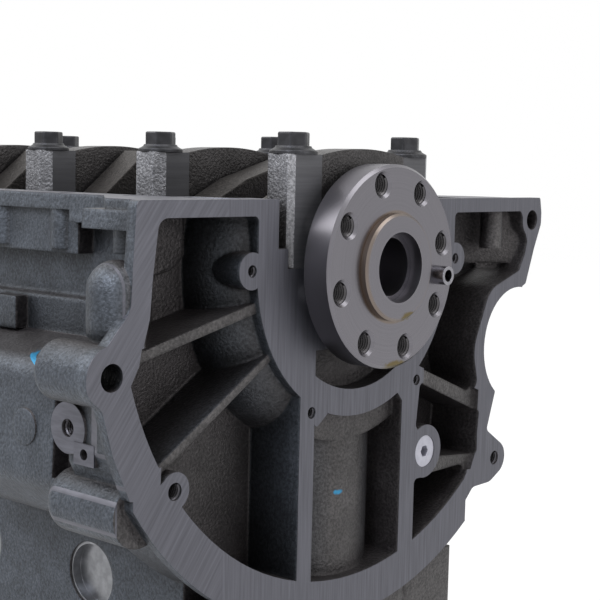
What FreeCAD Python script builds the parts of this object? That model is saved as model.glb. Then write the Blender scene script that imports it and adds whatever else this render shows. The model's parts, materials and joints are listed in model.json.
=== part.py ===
import FreeCAD, Part
import math
import os

# Four-cylinder diesel short block, standing on its deck face.
# Frame: origin on the deck face midway between cylinders 2 and 3, +Z from the deck
# towards the sump side, +Y from the flywheel end to the timing end. Millimetres.
# Outlines in the XZ plane are given from the crank axis, as (x, z, corner radius).

Vec = FreeCAD.Vector

# ---------------------------------------------------------------- cylinders and crank train
BORE = 86.0
BORE_PITCH = 96.0
CYLINDERS = 4
STROKE = 94.6
CRANK_HEIGHT = 246.0
RAIL_ABOVE_CRANK = 34.0
END_OVERHANG = 8.5
MAIN_JOURNAL = 60.0
PIN_JOURNAL = 50.0
SHELL_WALL = 2.45
BEARING_CLEARANCE = 0.05
SEAT_CLEARANCE = 0.05
PIN_LENGTH = 30.0
CHEEK_THICKNESS = 20.0
CRANK_PHASE = 32.0
COUNTERWEIGHT_RADIUS = 57.0
PIN_CHEEK_RADIUS = 31.0
MAIN_CHEEK_RADIUS = 44.0
COUNTERWEIGHT_DROP = 34.0
SWEEP_GAP = 3.0
BORE_RELIEF = 1.5
BORE_RELIEF_HEIGHT = 20.0

# ---------------------------------------------------------------- crankcase walls
DECK_HALF = 92.0
SKIRT_HALF = 104.0
SKIRT_WALL = 8.0
SKIRT_BULGE = 4.0
SKIRT_BULGE_TOP = -20.0
RAIL_PANEL_HALF = 114.0
RAIL_PANEL_FOOT = 4.0
RAIL_PANEL_START = 90.0
WEB_THICKNESS = 22.0
ROOF_BELOW_CRANK = 88.0
SHOULDER_ABOVE_CRANK = 10.0
SLOT_HALF = 64.5
RAIL_THICKNESS = 8.0
RAIL_HALF = 118.0
RAIL_INNER_HALF = 97.0
FLARE_THICKNESS = 14.0
FLARE_HALF = 150.0
FLARE_END = 92.0
RAIL_BOLT_OFFSET = 109.0
RAIL_BOLT_DEPTH = 20.0
RAIL_BOLT_RADIUS = 4.2
RAIL_BOSS_RADIUS = 8.5
RAIL_BOSS_HEIGHT = 28.0
HEAD_BOLT_RADIUS = 6.2
HEAD_BOLT_OFFSET = 47.0
HEAD_BOLT_DEPTH = 70.0

# ---------------------------------------------------------------- main caps and bolts
CAP_EDGE = 11.7
CAP_SIDE_GAP = 0.3
CAP_THICKNESS = 17.0
CAP_COLUMN_THICKNESS = 20.0
CAP_COLUMN_CHAMFER_X = 6.5
CAP_COLUMN_CHAMFER_Y = 3.5
CAP_SEAT_HEIGHT = 55.9
CAP_CROWN_HEIGHT = 59.5
CAP_BOSS_INNER = 33.5
MAIN_BOLT_OFFSET = 45.6
MAIN_BOLT_RADIUS = 6.0
MAIN_BOLT_DEPTH = 56.0
BOLT_FLANGE_RADIUS = 12.0
BOLT_FLANGE_HEIGHT = 3.0
BOLT_HEAD_HEIGHT = 10.8
BOLT_HEX_WIDTH = 14.6
BOLT_CLEARANCE = 0.5
SPLIT_GAP = 0.05

# ---------------------------------------------------------------- crank flange
FLANGE_RADIUS = 52.1
FLANGE_THICKNESS = 16.7
FLANGE_FACE_OUT = 21.5
FLANGE_CHAMFER = 1.5
FLANGE_HOLES = 8
FLANGE_HOLE_CIRCLE = 86.0
FLANGE_HOLE_RADIUS = 5.4
FLANGE_HOLE_CHAMFER = 1.5
FLANGE_HOLE_START = 15.0
SPIGOT_RADIUS = 27.5
SPIGOT_OUT = 4.0
PILOT_MOUTH_RADIUS = 18.0
PILOT_MOUTH_DEPTH = 7.0
PILOT_RADIUS = 15.0
PILOT_DEPTH = 34.0
SEAL_NECK_RADIUS = 40.0
DOWEL_X = 36.3
DOWEL_Z = -5.5
DOWEL_RADIUS = 5.0
DOWEL_BORE_RADIUS = 3.2
DOWEL_OUT = 8.0
DOWEL_SEAT_DEPTH = 9.0

# ---------------------------------------------------------------- flywheel-end flange
LIP_DEPTH = 6.0
LIP_INSET = 5.0
WINDOW_DEPTH = 34.0
WINDOW_FLOOR = 8.0
RIB_SET_BACK = 3.0
RING_RADIUS = 79.0
RING_LIP = 6.0
DRUM_RADIUS = 96.0
LEDGE_RADIUS = 93.0
LEDGE_SET_BACK = 7.0
END_BAY_RADIUS = 86.0
SEAL_RECESS_RADIUS = 65.0
SEAL_RECESS_DEPTH = 11.0
BELL_RADIUS = 187.0
BELL_BAND = 22.0
BELL_CLIP = 104.0
CARRIER_BOSS_RADIUS = 9.0
CARRIER_SCREW_RADIUS = 3.0
CARRIER_SCREWS = [(-82.5, 0.0), (85.0, 0.0), (-37.0, -73.5), (51.5, -66.0)]
BELL_HOLE_X = -169.0
BELL_HOLE_Z = -42.0
BELL_HOLE_RADIUS = 6.25
BELL_BOSS_RADIUS = 14.0
BELL_BOSS_LENGTH = 38.0
BELL_SCREW_RADIUS = 4.2
STARTER_X = 152.0
STARTER_Z = -54.0
STARTER_RADIUS = 34.2
PAD_HALF = 160.5
PAD_Y = 40.0
PAD_Z = -70.5
PAD_RADIUS = 12.0
PAD_SCREW_RADIUS = 4.2
PAD_SCREW_DEPTH = 19.0
PLUG_X = 61.5
PLUG_Z = -107.5
PLUG_RADIUS = 9.0
PLUG_BOSS_RADIUS = 15.0

# ---------------------------------------------------------------- small fitted pieces
CORE_PLUG_RADIUS = 17.5
CORE_PLUG_DEPTH = 8.0
CORE_PLUG_WALL = 1.5
CORE_PLUG_HEIGHT = 78.0
THRUST_OUTER_RADIUS = 40.0
THRUST_INNER_RADIUS = 33.5
THRUST_THICKNESS = 2.3
THRUST_GAP = 0.15
COLLAR_RADIUS = 38.0
COLLAR_HEIGHT = 0.8
NOSE_RADIUS = 19.0
NOSE_LENGTH = 55.0
NOSE_SEAT_RADIUS = 24.0
NOSE_SEAT_LENGTH = 22.0
NOSE_SCREW_RADIUS = 7.0
NOSE_SCREW_DEPTH = 30.0
KEY_WIDTH = 5.0
KEY_RADIUS = 9.5
KEY_OUT = 2.2
JET_RADIUS = 4.0
JET_SEAT_DEPTH = 8.0
END_PLUG_RADIUS = 8.0
END_PLUG_X = -62.0
END_PLUG_Z = -84.0
PLUG_DEPTH = 14.0
PLUG_SOCKET_RADIUS = 3.4
PLUG_SOCKET_DEPTH = 6.0
END_PLUG_DEPTH = 10.0

# ---------------------------------------------------------------- derived places
MAIN_COUNT = CYLINDERS + 1
REAR_Y = -(CYLINDERS * BORE_PITCH / 2.0 + END_OVERHANG)
FRONT_Y = -REAR_Y
MAIN_YS = [BORE_PITCH * (i - CYLINDERS / 2.0) for i in range(MAIN_COUNT)]
BORE_YS = [BORE_PITCH * (i - (CYLINDERS - 1) / 2.0) for i in range(CYLINDERS)]
RAIL_Z = CRANK_HEIGHT + RAIL_ABOVE_CRANK
THROW = STROKE / 2.0
CAP_HALF = MAIN_BOLT_OFFSET + CAP_EDGE
ROOF_Z = CRANK_HEIGHT - ROOF_BELOW_CRANK
JET_X = BORE / 2.0 + 7.0
FAR = 300.0
JOURNAL_RADIUS = MAIN_JOURNAL / 2.0
SHELL_INNER = JOURNAL_RADIUS + BEARING_CLEARANCE
SHELL_OUTER = SHELL_INNER + SHELL_WALL
HOUSING_RADIUS = SHELL_OUTER + SEAT_CLEARANCE
SHELL_WIDTH = CAP_THICKNESS - 1.0
FLANGE_FACE_Y = REAR_Y - FLANGE_FACE_OUT
FLANGE_BACK_Y = FLANGE_FACE_Y + FLANGE_THICKNESS
WINDOW_Y = REAR_Y + WINDOW_DEPTH
FRAME_BACK_Y = WINDOW_Y + WINDOW_FLOOR
END_WEB_Y = MAIN_YS[0] + WEB_THICKNESS / 2.0
JOURNAL_HALF = (BORE_PITCH - PIN_LENGTH) / 2.0 - CHEEK_THICKNESS
THRUST_FACE = JOURNAL_HALF - COLLAR_HEIGHT - THRUST_GAP
CORE_PLUG_YS = MAIN_YS[1:-1]
CROSS_Y = Vec(0, 1, 0)


# ---------------------------------------------------------------- drawing helpers
def crank_point(x, z, y=0.0):
    return Vec(x, y, CRANK_HEIGHT + z)


def rounded_wire(corners, y):
    """Closed wire in an XZ plane, each corner rounded by its own radius."""
    count = len(corners)
    starts = []
    ends = []
    edges = []
    for i in range(count):
        x, z, radius = corners[i]
        corner = crank_point(x, z, y)
        before = crank_point(corners[i - 1][0], corners[i - 1][1], y)
        after = crank_point(corners[(i + 1) % count][0], corners[(i + 1) % count][1], y)
        back = (before - corner).normalize()
        ahead = (after - corner).normalize()
        if radius <= 0:
            starts.append(corner)
            ends.append(corner)
            continue
        half = back.getAngle(ahead) / 2.0
        reach = radius / math.tan(half)
        start = corner + back * reach
        end = corner + ahead * reach
        inward = (back + ahead).normalize()
        middle = corner + inward * (radius / math.sin(half) - radius)
        edges.append(Part.Arc(start, middle, end).toShape())
        starts.append(start)
        ends.append(end)
    for i in range(count):
        start = ends[i]
        end = starts[(i + 1) % count]
        if start.distanceToPoint(end) > 1e-6:
            edges.append(Part.LineSegment(start, end).toShape())
    return Part.Wire(Part.__sortEdges__(edges))


def prism(corners, y0, y1):
    face = Part.Face(rounded_wire(corners, y0))
    return face.extrude(Vec(0, y1 - y0, 0))


def mirrored(corners):
    """The corners of a right half, from low to high, closed by their mirror image."""
    return corners + [(-x, z, r) for x, z, r in reversed(corners)]


def rod(x, z, radius, y0, y1):
    return Part.makeCylinder(radius, y1 - y0, crank_point(x, z, y0), CROSS_Y)


def post(x, y, radius, z0, z1):
    return Part.makeCylinder(radius, z1 - z0, Vec(x, y, z0), Vec(0, 0, 1))


def side_rod(y, z, radius, x0, x1):
    low = min(x0, x1)
    return Part.makeCylinder(radius, abs(x1 - x0), Vec(low, y, CRANK_HEIGHT + z), Vec(1, 0, 0))


def turned(profile):
    """Solid of revolution about the crank axis from (radius, y) points."""
    points = [crank_point(radius, 0, y) for radius, y in profile]
    wire = Part.makePolygon(points + [points[0]])
    return Part.Face(wire).revolve(crank_point(0, 0), CROSS_Y, 360)


def box(x0, x1, y0, y1, z0, z1):
    """Box with z counted from the crank axis."""
    return Part.makeBox(x1 - x0, y1 - y0, z1 - z0, crank_point(x0, z0, y0))


def joined(shapes):
    first = shapes[0]
    if len(shapes) == 1:
        return first
    return first.multiFuse(shapes[1:]).removeSplitter()


def rounded_edges(shape, radius, test):
    chosen = [edge for edge in shape.Edges if test(edge)]
    return shape.makeFillet(radius, chosen)


def export(shape, name):
    shape.exportStep("parts/" + name + ".step")


# ---------------------------------------------------------------- cylinder block casting
def crankcase_section():
    """Outer section of the block, from the deck up to the sump rail."""
    bulge = SKIRT_HALF + SKIRT_BULGE
    right = [
        (DECK_HALF, -CRANK_HEIGHT, 2),
        (DECK_HALF, -124, 25),
        (bulge, -84, 40),
        (bulge, SKIRT_BULGE_TOP, 2),
        (SKIRT_HALF, SKIRT_BULGE_TOP + 2, 2),
        (SKIRT_HALF, RAIL_ABOVE_CRANK, 0),
    ]
    return mirrored(right)


def bay_section():
    inner = SKIRT_HALF - SKIRT_WALL
    right = [
        (inner, -ROOF_BELOW_CRANK, 34),
        (inner, RAIL_ABOVE_CRANK + 5, 0),
    ]
    return mirrored(right)


def bell_outline():
    """Outline of the flywheel-end flange down to the round lower band."""
    return [
        (-155.5, RAIL_ABOVE_CRANK, 2.5),
        (-157.5, 4, 60),
        (-158.5, -14, 12),
        (-171, -27.5, 30),
        (-183, -37, 12),
        (-183, -48, 9),
        (-174, -56, 6),
        (-168, -76, 25),
        (-158, -98, 0),
        (-100, -110, 0),
        (BELL_CLIP, -143, 0),
        (111, -136.3, 6),
        (129, -136, 10),
        (154.7, -123.4, 10),
        (123.6, -103.7, 3),
        (131.5, -81, 2),
        (STARTER_X - 25, STARTER_Z - 23, 0),
        (STARTER_X + 5.5, STARTER_Z + 34.5, 0),
        (161, -18, 2),
        (169, 3, 20),
        (176, 18, 6),
        (176, 25, 4),
        (174, RAIL_ABOVE_CRANK, 1.5),
    ]


def bell_blank(y0, y1, inset):
    """Flywheel-end flange blank: shaped upper part and round lower band."""
    upper = Part.Face(rounded_wire(bell_outline(), y0))
    if inset:
        upper = upper.makeOffset2D(-inset)
    depth = Vec(0, y1 - y0, 0)
    disc = rod(0, 0, BELL_RADIUS - inset, y0, y1)
    lower = disc.common(box(inset - 156, BELL_CLIP - inset, y0, y1, -200, 3 * inset - 97))
    blank = joined([upper.extrude(depth), lower])
    return blank.cut(rod(STARTER_X, STARTER_Z, STARTER_RADIUS + inset, y0, y1))


def window_outlines():
    """Openings of the flywheel-end frame, left to right; the seal ring closes their inner ends."""
    left_upper = [
        (-142.5, 26, 6), (-78.5, 26, 3), (-78.5, 0, 0), (-70, -14, 0),
        (-152, -33.5, 3), (-147.5, -18, 14), (-146, 0, 20),
    ]
    left_middle = [
        (-68, -18.8, 0), (-58, -35.8, 0), (-141, -87, 4),
        (-150, -72, 8), (-160, -50, 7), (-153.5, -38.5, 3),
    ]
    left_lower = [
        (-57, -39.4, 0), (-45.7, -58, 0), (-45.7, -175, 0),
        (-120, -175, 0), (-122, -111, 5), (-141, -92, 4),
    ]
    centre = [
        (-34.7, -68, 0), (-34.7, -175, 0), (38.7, -175, 0), (38.7, -60, 0),
    ]
    right_upper = [
        (83.5, 26, 3), (153.5, 26, 4), (161, 7.5, 4), (159, 0, 3),
        (153, -10, 3), (122, -20, 18), (106.5, -54, 22), (114.5, -82, 6),
        (50, -57.1, 0), (70, -12, 0), (83.5, -4, 0),
    ]
    right_middle = [
        (55, -67, 3), (115, -91, 3), (113.5, -104, 6), (114, -117, 3), (70, -112.5, 0), (52, -92, 4),
    ]
    right_lower = [
        (52, -122, 3), (100, -121.5, 3), (106, -124, 3), (88, -148, 8), (88, -175, 0), (52, -175, 0),
    ]
    return [left_upper, left_middle, left_lower, centre, right_upper, right_middle, right_lower]


def rib_outlines():
    """Fronts of the ribs between the windows, which stand back from the flange face."""
    return [
        [(-70, -10, 0), (-152, -31, 0), (-154, -41, 0), (-70, -23, 0)],
        [(-60, -33, 0), (-139.5, -84, 0), (-140, -93.5, 0), (-60, -43, 0)],
        [(58, -57, 0), (113.5, -78.5, 0), (113, -92, 0), (58, -70, 0)],
        [(62, -111, 0), (112.5, -116, 0), (108, -125, 0), (62, -123, 0)],
    ]


def window_cut(corners):
    inside = rod(0, 0, BELL_RADIUS - BELL_BAND, REAR_Y - 1, WINDOW_Y)
    return prism(corners, REAR_Y - 1, WINDOW_Y).common(inside)


def plan_prism(points, z0, z1):
    """Upright solid over a plan outline of (x, y) points, z counted from the crank axis."""
    corners = [crank_point(x, z0, y) for x, y in points]
    face = Part.Face(Part.makePolygon(corners + [corners[0]]))
    return face.extrude(Vec(0, 0, z1 - z0))


def capsule(x, y, z0, z1, radius):
    low = crank_point(x, z0, y)
    high = crank_point(x, z1, y)
    parts = [
        Part.makeCylinder(radius, z1 - z0, low, Vec(0, 0, 1)),
        Part.makeSphere(radius, low),
        Part.makeSphere(radius, high),
    ]
    return joined(parts)


def side_cut(side, low, high, lip_x, floor_x, back_x):
    """Takes the outer side of the frame away behind its lip, between two heights."""
    lip_y = REAR_Y + LIP_DEPTH
    plan = [
        (lip_x * side, lip_y), (floor_x * side, WINDOW_Y), (back_x * side, FRAME_BACK_Y + 1),
        (FAR * side, FRAME_BACK_Y + 1), (FAR * side, lip_y),
    ]
    return plan_prism(plan, low, high)


def side_wall(side, lip_x, low):
    """Slanting wall that closes an upper window towards the outside."""
    lip_y = REAR_Y + LIP_DEPTH
    plan = [
        (lip_x * side, lip_y), ((lip_x - 8.5) * side, lip_y), (116 * side, WINDOW_Y),
        (116 * side, FRAME_BACK_Y), (124 * side, FRAME_BACK_Y),
    ]
    return plan_prism(plan, low, 27)


def frame_bosses():
    """Screw bosses of the flywheel-end frame that reach into its windows."""
    depth = WINDOW_Y + 2
    return [
        rod(-82.5, 0, CARRIER_BOSS_RADIUS, REAR_Y, depth),
        rod(85, 0, CARRIER_BOSS_RADIUS, REAR_Y, depth),
        rod(-131, -98, 9, REAR_Y, FRAME_BACK_Y),
        rod(133, -122, 10.5, REAR_Y, FRAME_BACK_Y),
        rod(165.5, 20.5, 10.5, REAR_Y, REAR_Y + 30),
        rod(PLUG_X, PLUG_Z, PLUG_BOSS_RADIUS, REAR_Y, depth),
        post(134, REAR_Y + 9, 6.5, CRANK_HEIGHT + 4, RAIL_Z - 4),
    ]


def left_side_bosses():
    """Lobe, bosses and pads on the left side of the flywheel-end frame."""
    hole_boss = rod(BELL_HOLE_X, BELL_HOLE_Z, BELL_BOSS_RADIUS, REAR_Y, REAR_Y + BELL_BOSS_LENGTH)
    hole_boss = rounded_edges(hole_boss, 4, lambda edge: edge.BoundBox.YMin > REAR_Y + 1)
    foot_boss = rod(-147, -107, 15.5, REAR_Y + LIP_DEPTH, REAR_Y + 56)
    foot_boss = rounded_edges(foot_boss, 7, lambda edge: edge.BoundBox.YMin > REAR_Y + 50)
    oval_pad = side_rod(REAR_Y + PAD_Y, PAD_Z, PAD_RADIUS, -PAD_HALF, -135)
    small_pad = box(-161, -150, REAR_Y + 21, REAR_Y + 35, -86, -76)
    return [capsule(-154.5, REAR_Y + 14, -22, -6, 13.5), hole_boss, foot_boss, oval_pad, small_pad]


def bell_frame():
    """Flywheel-end frame: lip, walls behind it, windows, ribs and bosses."""
    lip_y = REAR_Y + LIP_DEPTH
    frame = joined([bell_blank(REAR_Y, lip_y, 0), bell_blank(lip_y, FRAME_BACK_Y, LIP_INSET)])
    pocket_top = RAIL_ABOVE_CRANK - FLARE_THICKNESS
    frame = frame.cut(side_cut(-1, -34, pocket_top, 152, 124, 120))
    frame = frame.cut(side_cut(-1, -98, -54, 164, 158, 158))
    frame = frame.cut(side_cut(1, -6, pocket_top, 168, 124, 120))
    frame = joined([frame] + left_side_bosses())
    frame = frame.cut(box(-FAR, FAR, REAR_Y - 20, REAR_Y, -FAR, FAR))
    for corners in window_outlines():
        frame = frame.cut(window_cut(corners))
    for corners in rib_outlines():
        frame = frame.cut(prism(corners, REAR_Y - 1, REAR_Y + RIB_SET_BACK))
    walls = [side_wall(-1, 153, -34), side_wall(1, 169, -6)]
    left_gusset = prism([(-34.7, -70, 0), (-34.7, -83, 2), (-25, -75.8, 2), (-20, -70, 0)],
                        REAR_Y, REAR_Y + 16)
    right_gusset = prism([(38.7, -60, 0), (38.7, -76, 0), (34.5, -71, 3), (28, -71, 0)],
                         REAR_Y, REAR_Y + 16)
    panel = prism([(-118, 27, 0), (-118, -3.5, 0), (-103, 0.5, 4), (-96.8, 6, 4), (-96.8, 27, 0)],
                  WINDOW_Y - 2, WINDOW_Y + 1)
    return joined([frame, left_gusset, right_gusset, panel] + walls + frame_bosses())


def end_drum():
    """Rounded end of the crankcase round the last crank throw."""
    points = [crank_point(radius, 0, y) for radius, y in [
        (0, REAR_Y), (RING_RADIUS, REAR_Y), (RING_RADIUS, REAR_Y + RING_LIP),
        (DRUM_RADIUS, FRAME_BACK_Y), (0, FRAME_BACK_Y),
    ]]
    swell = crank_point(DRUM_RADIUS - 3, 0, REAR_Y + 21)
    edges = [Part.LineSegment(points[i], points[(i + 1) % 5]).toShape() for i in (0, 1, 3, 4)]
    edges.append(Part.Arc(points[2], swell, points[3]).toShape())
    drum = Part.Face(Part.Wire(Part.__sortEdges__(edges))).revolve(crank_point(0, 0), CROSS_Y, 360)
    return drum.cut(box(-FAR, FAR, REAR_Y - 1, FRONT_Y, RAIL_ABOVE_CRANK, FAR))


def end_bay():
    """Room for the last throw inside the rounded end."""
    sweep = THROW + PIN_CHEEK_RADIUS + SWEEP_GAP
    return turned([
        (0, END_WEB_Y), (sweep, END_WEB_Y), (END_BAY_RADIUS, END_WEB_Y + 6),
        (END_BAY_RADIUS, FRAME_BACK_Y + 1), (0, FRAME_BACK_Y + 1),
    ])


def left_housing():
    """Housing on the left side, cut back behind the flywheel-end frame round the pads."""
    end = REAR_Y + 172
    outline = [(-100, -36, 0), (-146, -47, 12), (-149, -104, 14), (-132, -124, 20), (-90, -140, 0)]
    housing = prism(outline, WINDOW_Y, end)
    housing = rounded_edges(housing, 7, lambda edge: edge.BoundBox.YMin > end - 0.1
                            and edge.BoundBox.XMax < -95)
    housing = housing.cut(box(-FAR, -138, FRAME_BACK_Y, REAR_Y + 66, -100, 0))
    disc = side_rod(REAR_Y + 88, -78.4, 9, -148.6, -140)
    stud_pad = box(-116, -104, REAR_Y + 138, REAR_Y + 158, -38, -21)
    return joined([housing, disc, stud_pad])


def sump_rail(side):
    """Sump rail down one side, flared and thickened towards the flywheel-end frame."""
    plan = [
        (RAIL_INNER_HALF * side, REAR_Y + 5), (FLARE_HALF * side, REAR_Y + 5),
        ((FLARE_HALF - 2) * side, REAR_Y + 30), (RAIL_HALF * side, REAR_Y + 66),
        (RAIL_HALF * side, REAR_Y + FLARE_END), (RAIL_INNER_HALF * side, REAR_Y + FLARE_END),
    ]
    flare = plan_prism(plan, RAIL_ABOVE_CRANK - FLARE_THICKNESS, RAIL_ABOVE_CRANK)
    windows = window_outlines()
    flare = flare.cut(window_cut(windows[0])).cut(window_cut(windows[4]))
    inner = RAIL_INNER_HALF
    rail = upright_box(side, inner, RAIL_HALF, FLARE_END - 10, RAIL_ABOVE_CRANK - RAIL_THICKNESS)
    panel = upright_box(side, inner, RAIL_PANEL_HALF, RAIL_PANEL_START, RAIL_PANEL_FOOT)
    return joined([flare, rail, panel])


def upright_box(side, inner, outer, start, foot):
    """Box along one side of the block, from a place behind the rear face to the front face."""
    low = min(inner * side, outer * side)
    high = max(inner * side, outer * side)
    return box(low, high, REAR_Y + start, FRONT_Y, foot, RAIL_ABOVE_CRANK)


def block_blank():
    body = prism(crankcase_section(), WINDOW_Y, FRONT_Y)
    cylinder_end = post(0, BORE_YS[0], BORE / 2.0 + 7, 0, ROOF_Z + 10)
    deck_end = box(-DECK_HALF, DECK_HALF, REAR_Y + 2, WINDOW_Y + 1, -CRANK_HEIGHT, -168)
    ledge = rod(0, 0, LEDGE_RADIUS, REAR_Y + LEDGE_SET_BACK, WINDOW_Y)
    ledge = ledge.common(box(-36, 40, REAR_Y, WINDOW_Y, -100, -60))
    parts = [body, bell_frame(), end_drum(), cylinder_end, deck_end, ledge, left_housing()]
    return joined(parts + [sump_rail(-1), sump_rail(1)])


def rail_bolt_places():
    """Sump rail screws down each side, at the bay middles and the inner bulkheads."""
    return [(side * RAIL_BOLT_OFFSET, y) for y in BORE_YS + MAIN_YS[1:-1] for side in (-1, 1)]


def head_bolt_places():
    return [(side * HEAD_BOLT_OFFSET, y) for y in MAIN_YS for side in (-1, 1)]


def bearing_bolt_places():
    return [(side * MAIN_BOLT_OFFSET, y) for y in MAIN_YS for side in (-1, 1)]


def screw_holes():
    holes = [post(x, y, RAIL_BOLT_RADIUS, RAIL_Z - RAIL_BOLT_DEPTH, RAIL_Z + 1)
             for x, y in rail_bolt_places()]
    holes += [post(x, y, HEAD_BOLT_RADIUS, -1, HEAD_BOLT_DEPTH) for x, y in head_bolt_places()]
    holes += [post(x, y, MAIN_BOLT_RADIUS, CRANK_HEIGHT - MAIN_BOLT_DEPTH, CRANK_HEIGHT + 1)
              for x, y in bearing_bolt_places()]
    rear = REAR_Y - 1
    holes += [
        rod(BELL_HOLE_X, BELL_HOLE_Z, BELL_HOLE_RADIUS, rear, REAR_Y + 60),
        rod(165.5, 20.5, 6.0, rear, REAR_Y + 31),
        rod(-131, -98, BELL_SCREW_RADIUS, rear, REAR_Y + 28),
        rod(133, -122, BELL_SCREW_RADIUS, rear, REAR_Y + 28),
        side_rod(REAR_Y + PAD_Y, PAD_Z, PAD_SCREW_RADIUS, -PAD_HALF - 1, PAD_SCREW_DEPTH - PAD_HALF),
        side_rod(REAR_Y + 28, -81, 2.5, -162, -153),
    ]
    for x, z in CARRIER_SCREWS:
        holes.append(rod(x, z, CARRIER_SCREW_RADIUS, rear, REAR_Y + 18))
    return holes


def fitted_seats():
    """Seats of the plugs, jets and thrust washers."""
    seats = [
        rod(PLUG_X, PLUG_Z, PLUG_RADIUS, REAR_Y - 1, REAR_Y + PLUG_DEPTH),
        rod(END_PLUG_X, END_PLUG_Z, END_PLUG_RADIUS, FRONT_Y - END_PLUG_DEPTH, FRONT_Y + 1),
    ]
    for y in CORE_PLUG_YS:
        for side in (-1, 1):
            seats.append(side_rod(y, CORE_PLUG_HEIGHT - CRANK_HEIGHT, CORE_PLUG_RADIUS,
                                  side * (DECK_HALF + 5), side * (DECK_HALF - CORE_PLUG_DEPTH)))
    for y in BORE_YS:
        seats.append(post(JET_X, y, JET_RADIUS + SEAT_CLEARANCE, ROOF_Z - JET_SEAT_DEPTH - 0.3, ROOF_Z + 1))
    return seats + [thrust_recess(side) for side in (-1, 1)]


def cylinder_block():
    block = block_blank()
    bosses = [post(x, y, RAIL_BOSS_RADIUS, RAIL_Z - RAIL_BOSS_HEIGHT, RAIL_Z)
              for x, y in rail_bolt_places()]
    block = joined([block] + bosses)
    # Crank bays, with the end bay rounded, and the slots that the caps stand in.
    for i in range(CYLINDERS):
        y0 = MAIN_YS[i] + WEB_THICKNESS / 2.0
        y1 = MAIN_YS[i + 1] - WEB_THICKNESS / 2.0
        if i == 0:
            block = block.cut(end_bay())
            y0 = FRAME_BACK_Y
        block = block.cut(prism(bay_section(), y0, y1))
    inner = SKIRT_HALF - SKIRT_WALL
    rear = REAR_Y - 1
    front = FRONT_Y + 1
    block = block.cut(box(-SLOT_HALF, SLOT_HALF, rear, front, SHOULDER_ABOVE_CRANK, FAR))
    block = block.cut(box(-CAP_HALF, CAP_HALF, rear, front, 0, FAR))
    block = block.cut(box(-inner, inner, FRAME_BACK_Y, FRONT_Y - 12, SHOULDER_ABOVE_CRANK, FAR))
    # Line bore, seal recess and cylinder bores, which open out where they meet the roof.
    block = block.cut(rod(0, 0, HOUSING_RADIUS, rear, front))
    recess = rod(0, 0, SEAL_RECESS_RADIUS, rear, REAR_Y + SEAL_RECESS_DEPTH)
    block = block.cut(recess.common(box(-34.8, 34.8, rear, 0, -100, -42)))
    block = block.cut(rod(0, 0, SEAL_NECK_RADIUS + 2, rear, REAR_Y + 1))
    for y in BORE_YS:
        block = block.cut(post(0, y, BORE / 2.0, -1, ROOF_Z))
        block = block.cut(post(0, y, BORE / 2.0 + BORE_RELIEF, ROOF_Z, ROOF_Z + BORE_RELIEF_HEIGHT))
    holes = screw_holes() + fitted_seats()
    return block.cut(holes[0].multiFuse(holes[1:]))


# ---------------------------------------------------------------- main caps, shells and bolts
def crown_section():
    """Middle of a main cap: flat foot and arched crown."""
    half = CAP_BOSS_INNER + 2
    left_foot = crank_point(-half, SPLIT_GAP)
    right_foot = crank_point(half, SPLIT_GAP)
    left_top = crank_point(-half, CAP_SEAT_HEIGHT - 0.5)
    right_top = crank_point(half, CAP_SEAT_HEIGHT - 0.5)
    crown = Part.Arc(left_top, crank_point(0, CAP_CROWN_HEIGHT), right_top).toShape()
    sides = [Part.LineSegment(right_top, right_foot).toShape(),
             Part.LineSegment(right_foot, left_foot).toShape(),
             Part.LineSegment(left_foot, left_top).toShape()]
    return Part.Face(Part.Wire(Part.__sortEdges__(sides + [crown])))


def cap_column(side):
    """Upright block of a main cap round one bolt, its outer corners cut off."""
    outer = CAP_HALF - CAP_SIDE_GAP
    corner = outer - CAP_COLUMN_CHAMFER_X
    half = CAP_COLUMN_THICKNESS / 2.0
    flat = half - CAP_COLUMN_CHAMFER_Y
    right = [(CAP_BOSS_INNER, -half), (corner, -half), (outer, -flat),
             (outer, flat), (corner, half), (CAP_BOSS_INNER, half)]
    return plan_prism([(side * x, y) for x, y in right], SPLIT_GAP, CAP_SEAT_HEIGHT)


def main_cap(y):
    """Main bearing cap: two bolt columns joined by a narrower crown over the journal."""
    crown = crown_section().extrude(Vec(0, CAP_THICKNESS, 0))
    crown.translate(Vec(0, -CAP_THICKNESS / 2.0, 0))
    cap = joined([crown, cap_column(-1), cap_column(1)])
    cap = cap.cut(rod(0, 0, HOUSING_RADIUS, -FAR, FAR))
    for x in (-MAIN_BOLT_OFFSET, MAIN_BOLT_OFFSET):
        cap = cap.cut(post(x, 0, MAIN_BOLT_RADIUS + BOLT_CLEARANCE, CRANK_HEIGHT - 1, RAIL_Z + FAR))
    cap.translate(Vec(0, y, 0))
    return cap.common(box(-FAR, FAR, REAR_Y, FRONT_Y, -FAR, FAR))


def half_shell(y, upper):
    shell = rod(0, 0, SHELL_OUTER, y - SHELL_WIDTH / 2.0, y + SHELL_WIDTH / 2.0)
    shell = shell.cut(rod(0, 0, SHELL_INNER, y - SHELL_WIDTH, y + SHELL_WIDTH))
    if upper:
        return shell.cut(box(-FAR, FAR, -FAR, FAR, 0, FAR))
    return shell.cut(box(-FAR, FAR, -FAR, FAR, -FAR, SPLIT_GAP))


def hexagon(x, y, width, z0, z1):
    radius = width / math.sqrt(3.0)
    points = [Vec(x + radius * math.cos(math.radians(60 * i)), y + radius * math.sin(math.radians(60 * i)), z0)
              for i in range(6)]
    face = Part.Face(Part.makePolygon(points + [points[0]]))
    return face.extrude(Vec(0, 0, z1 - z0))


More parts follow.
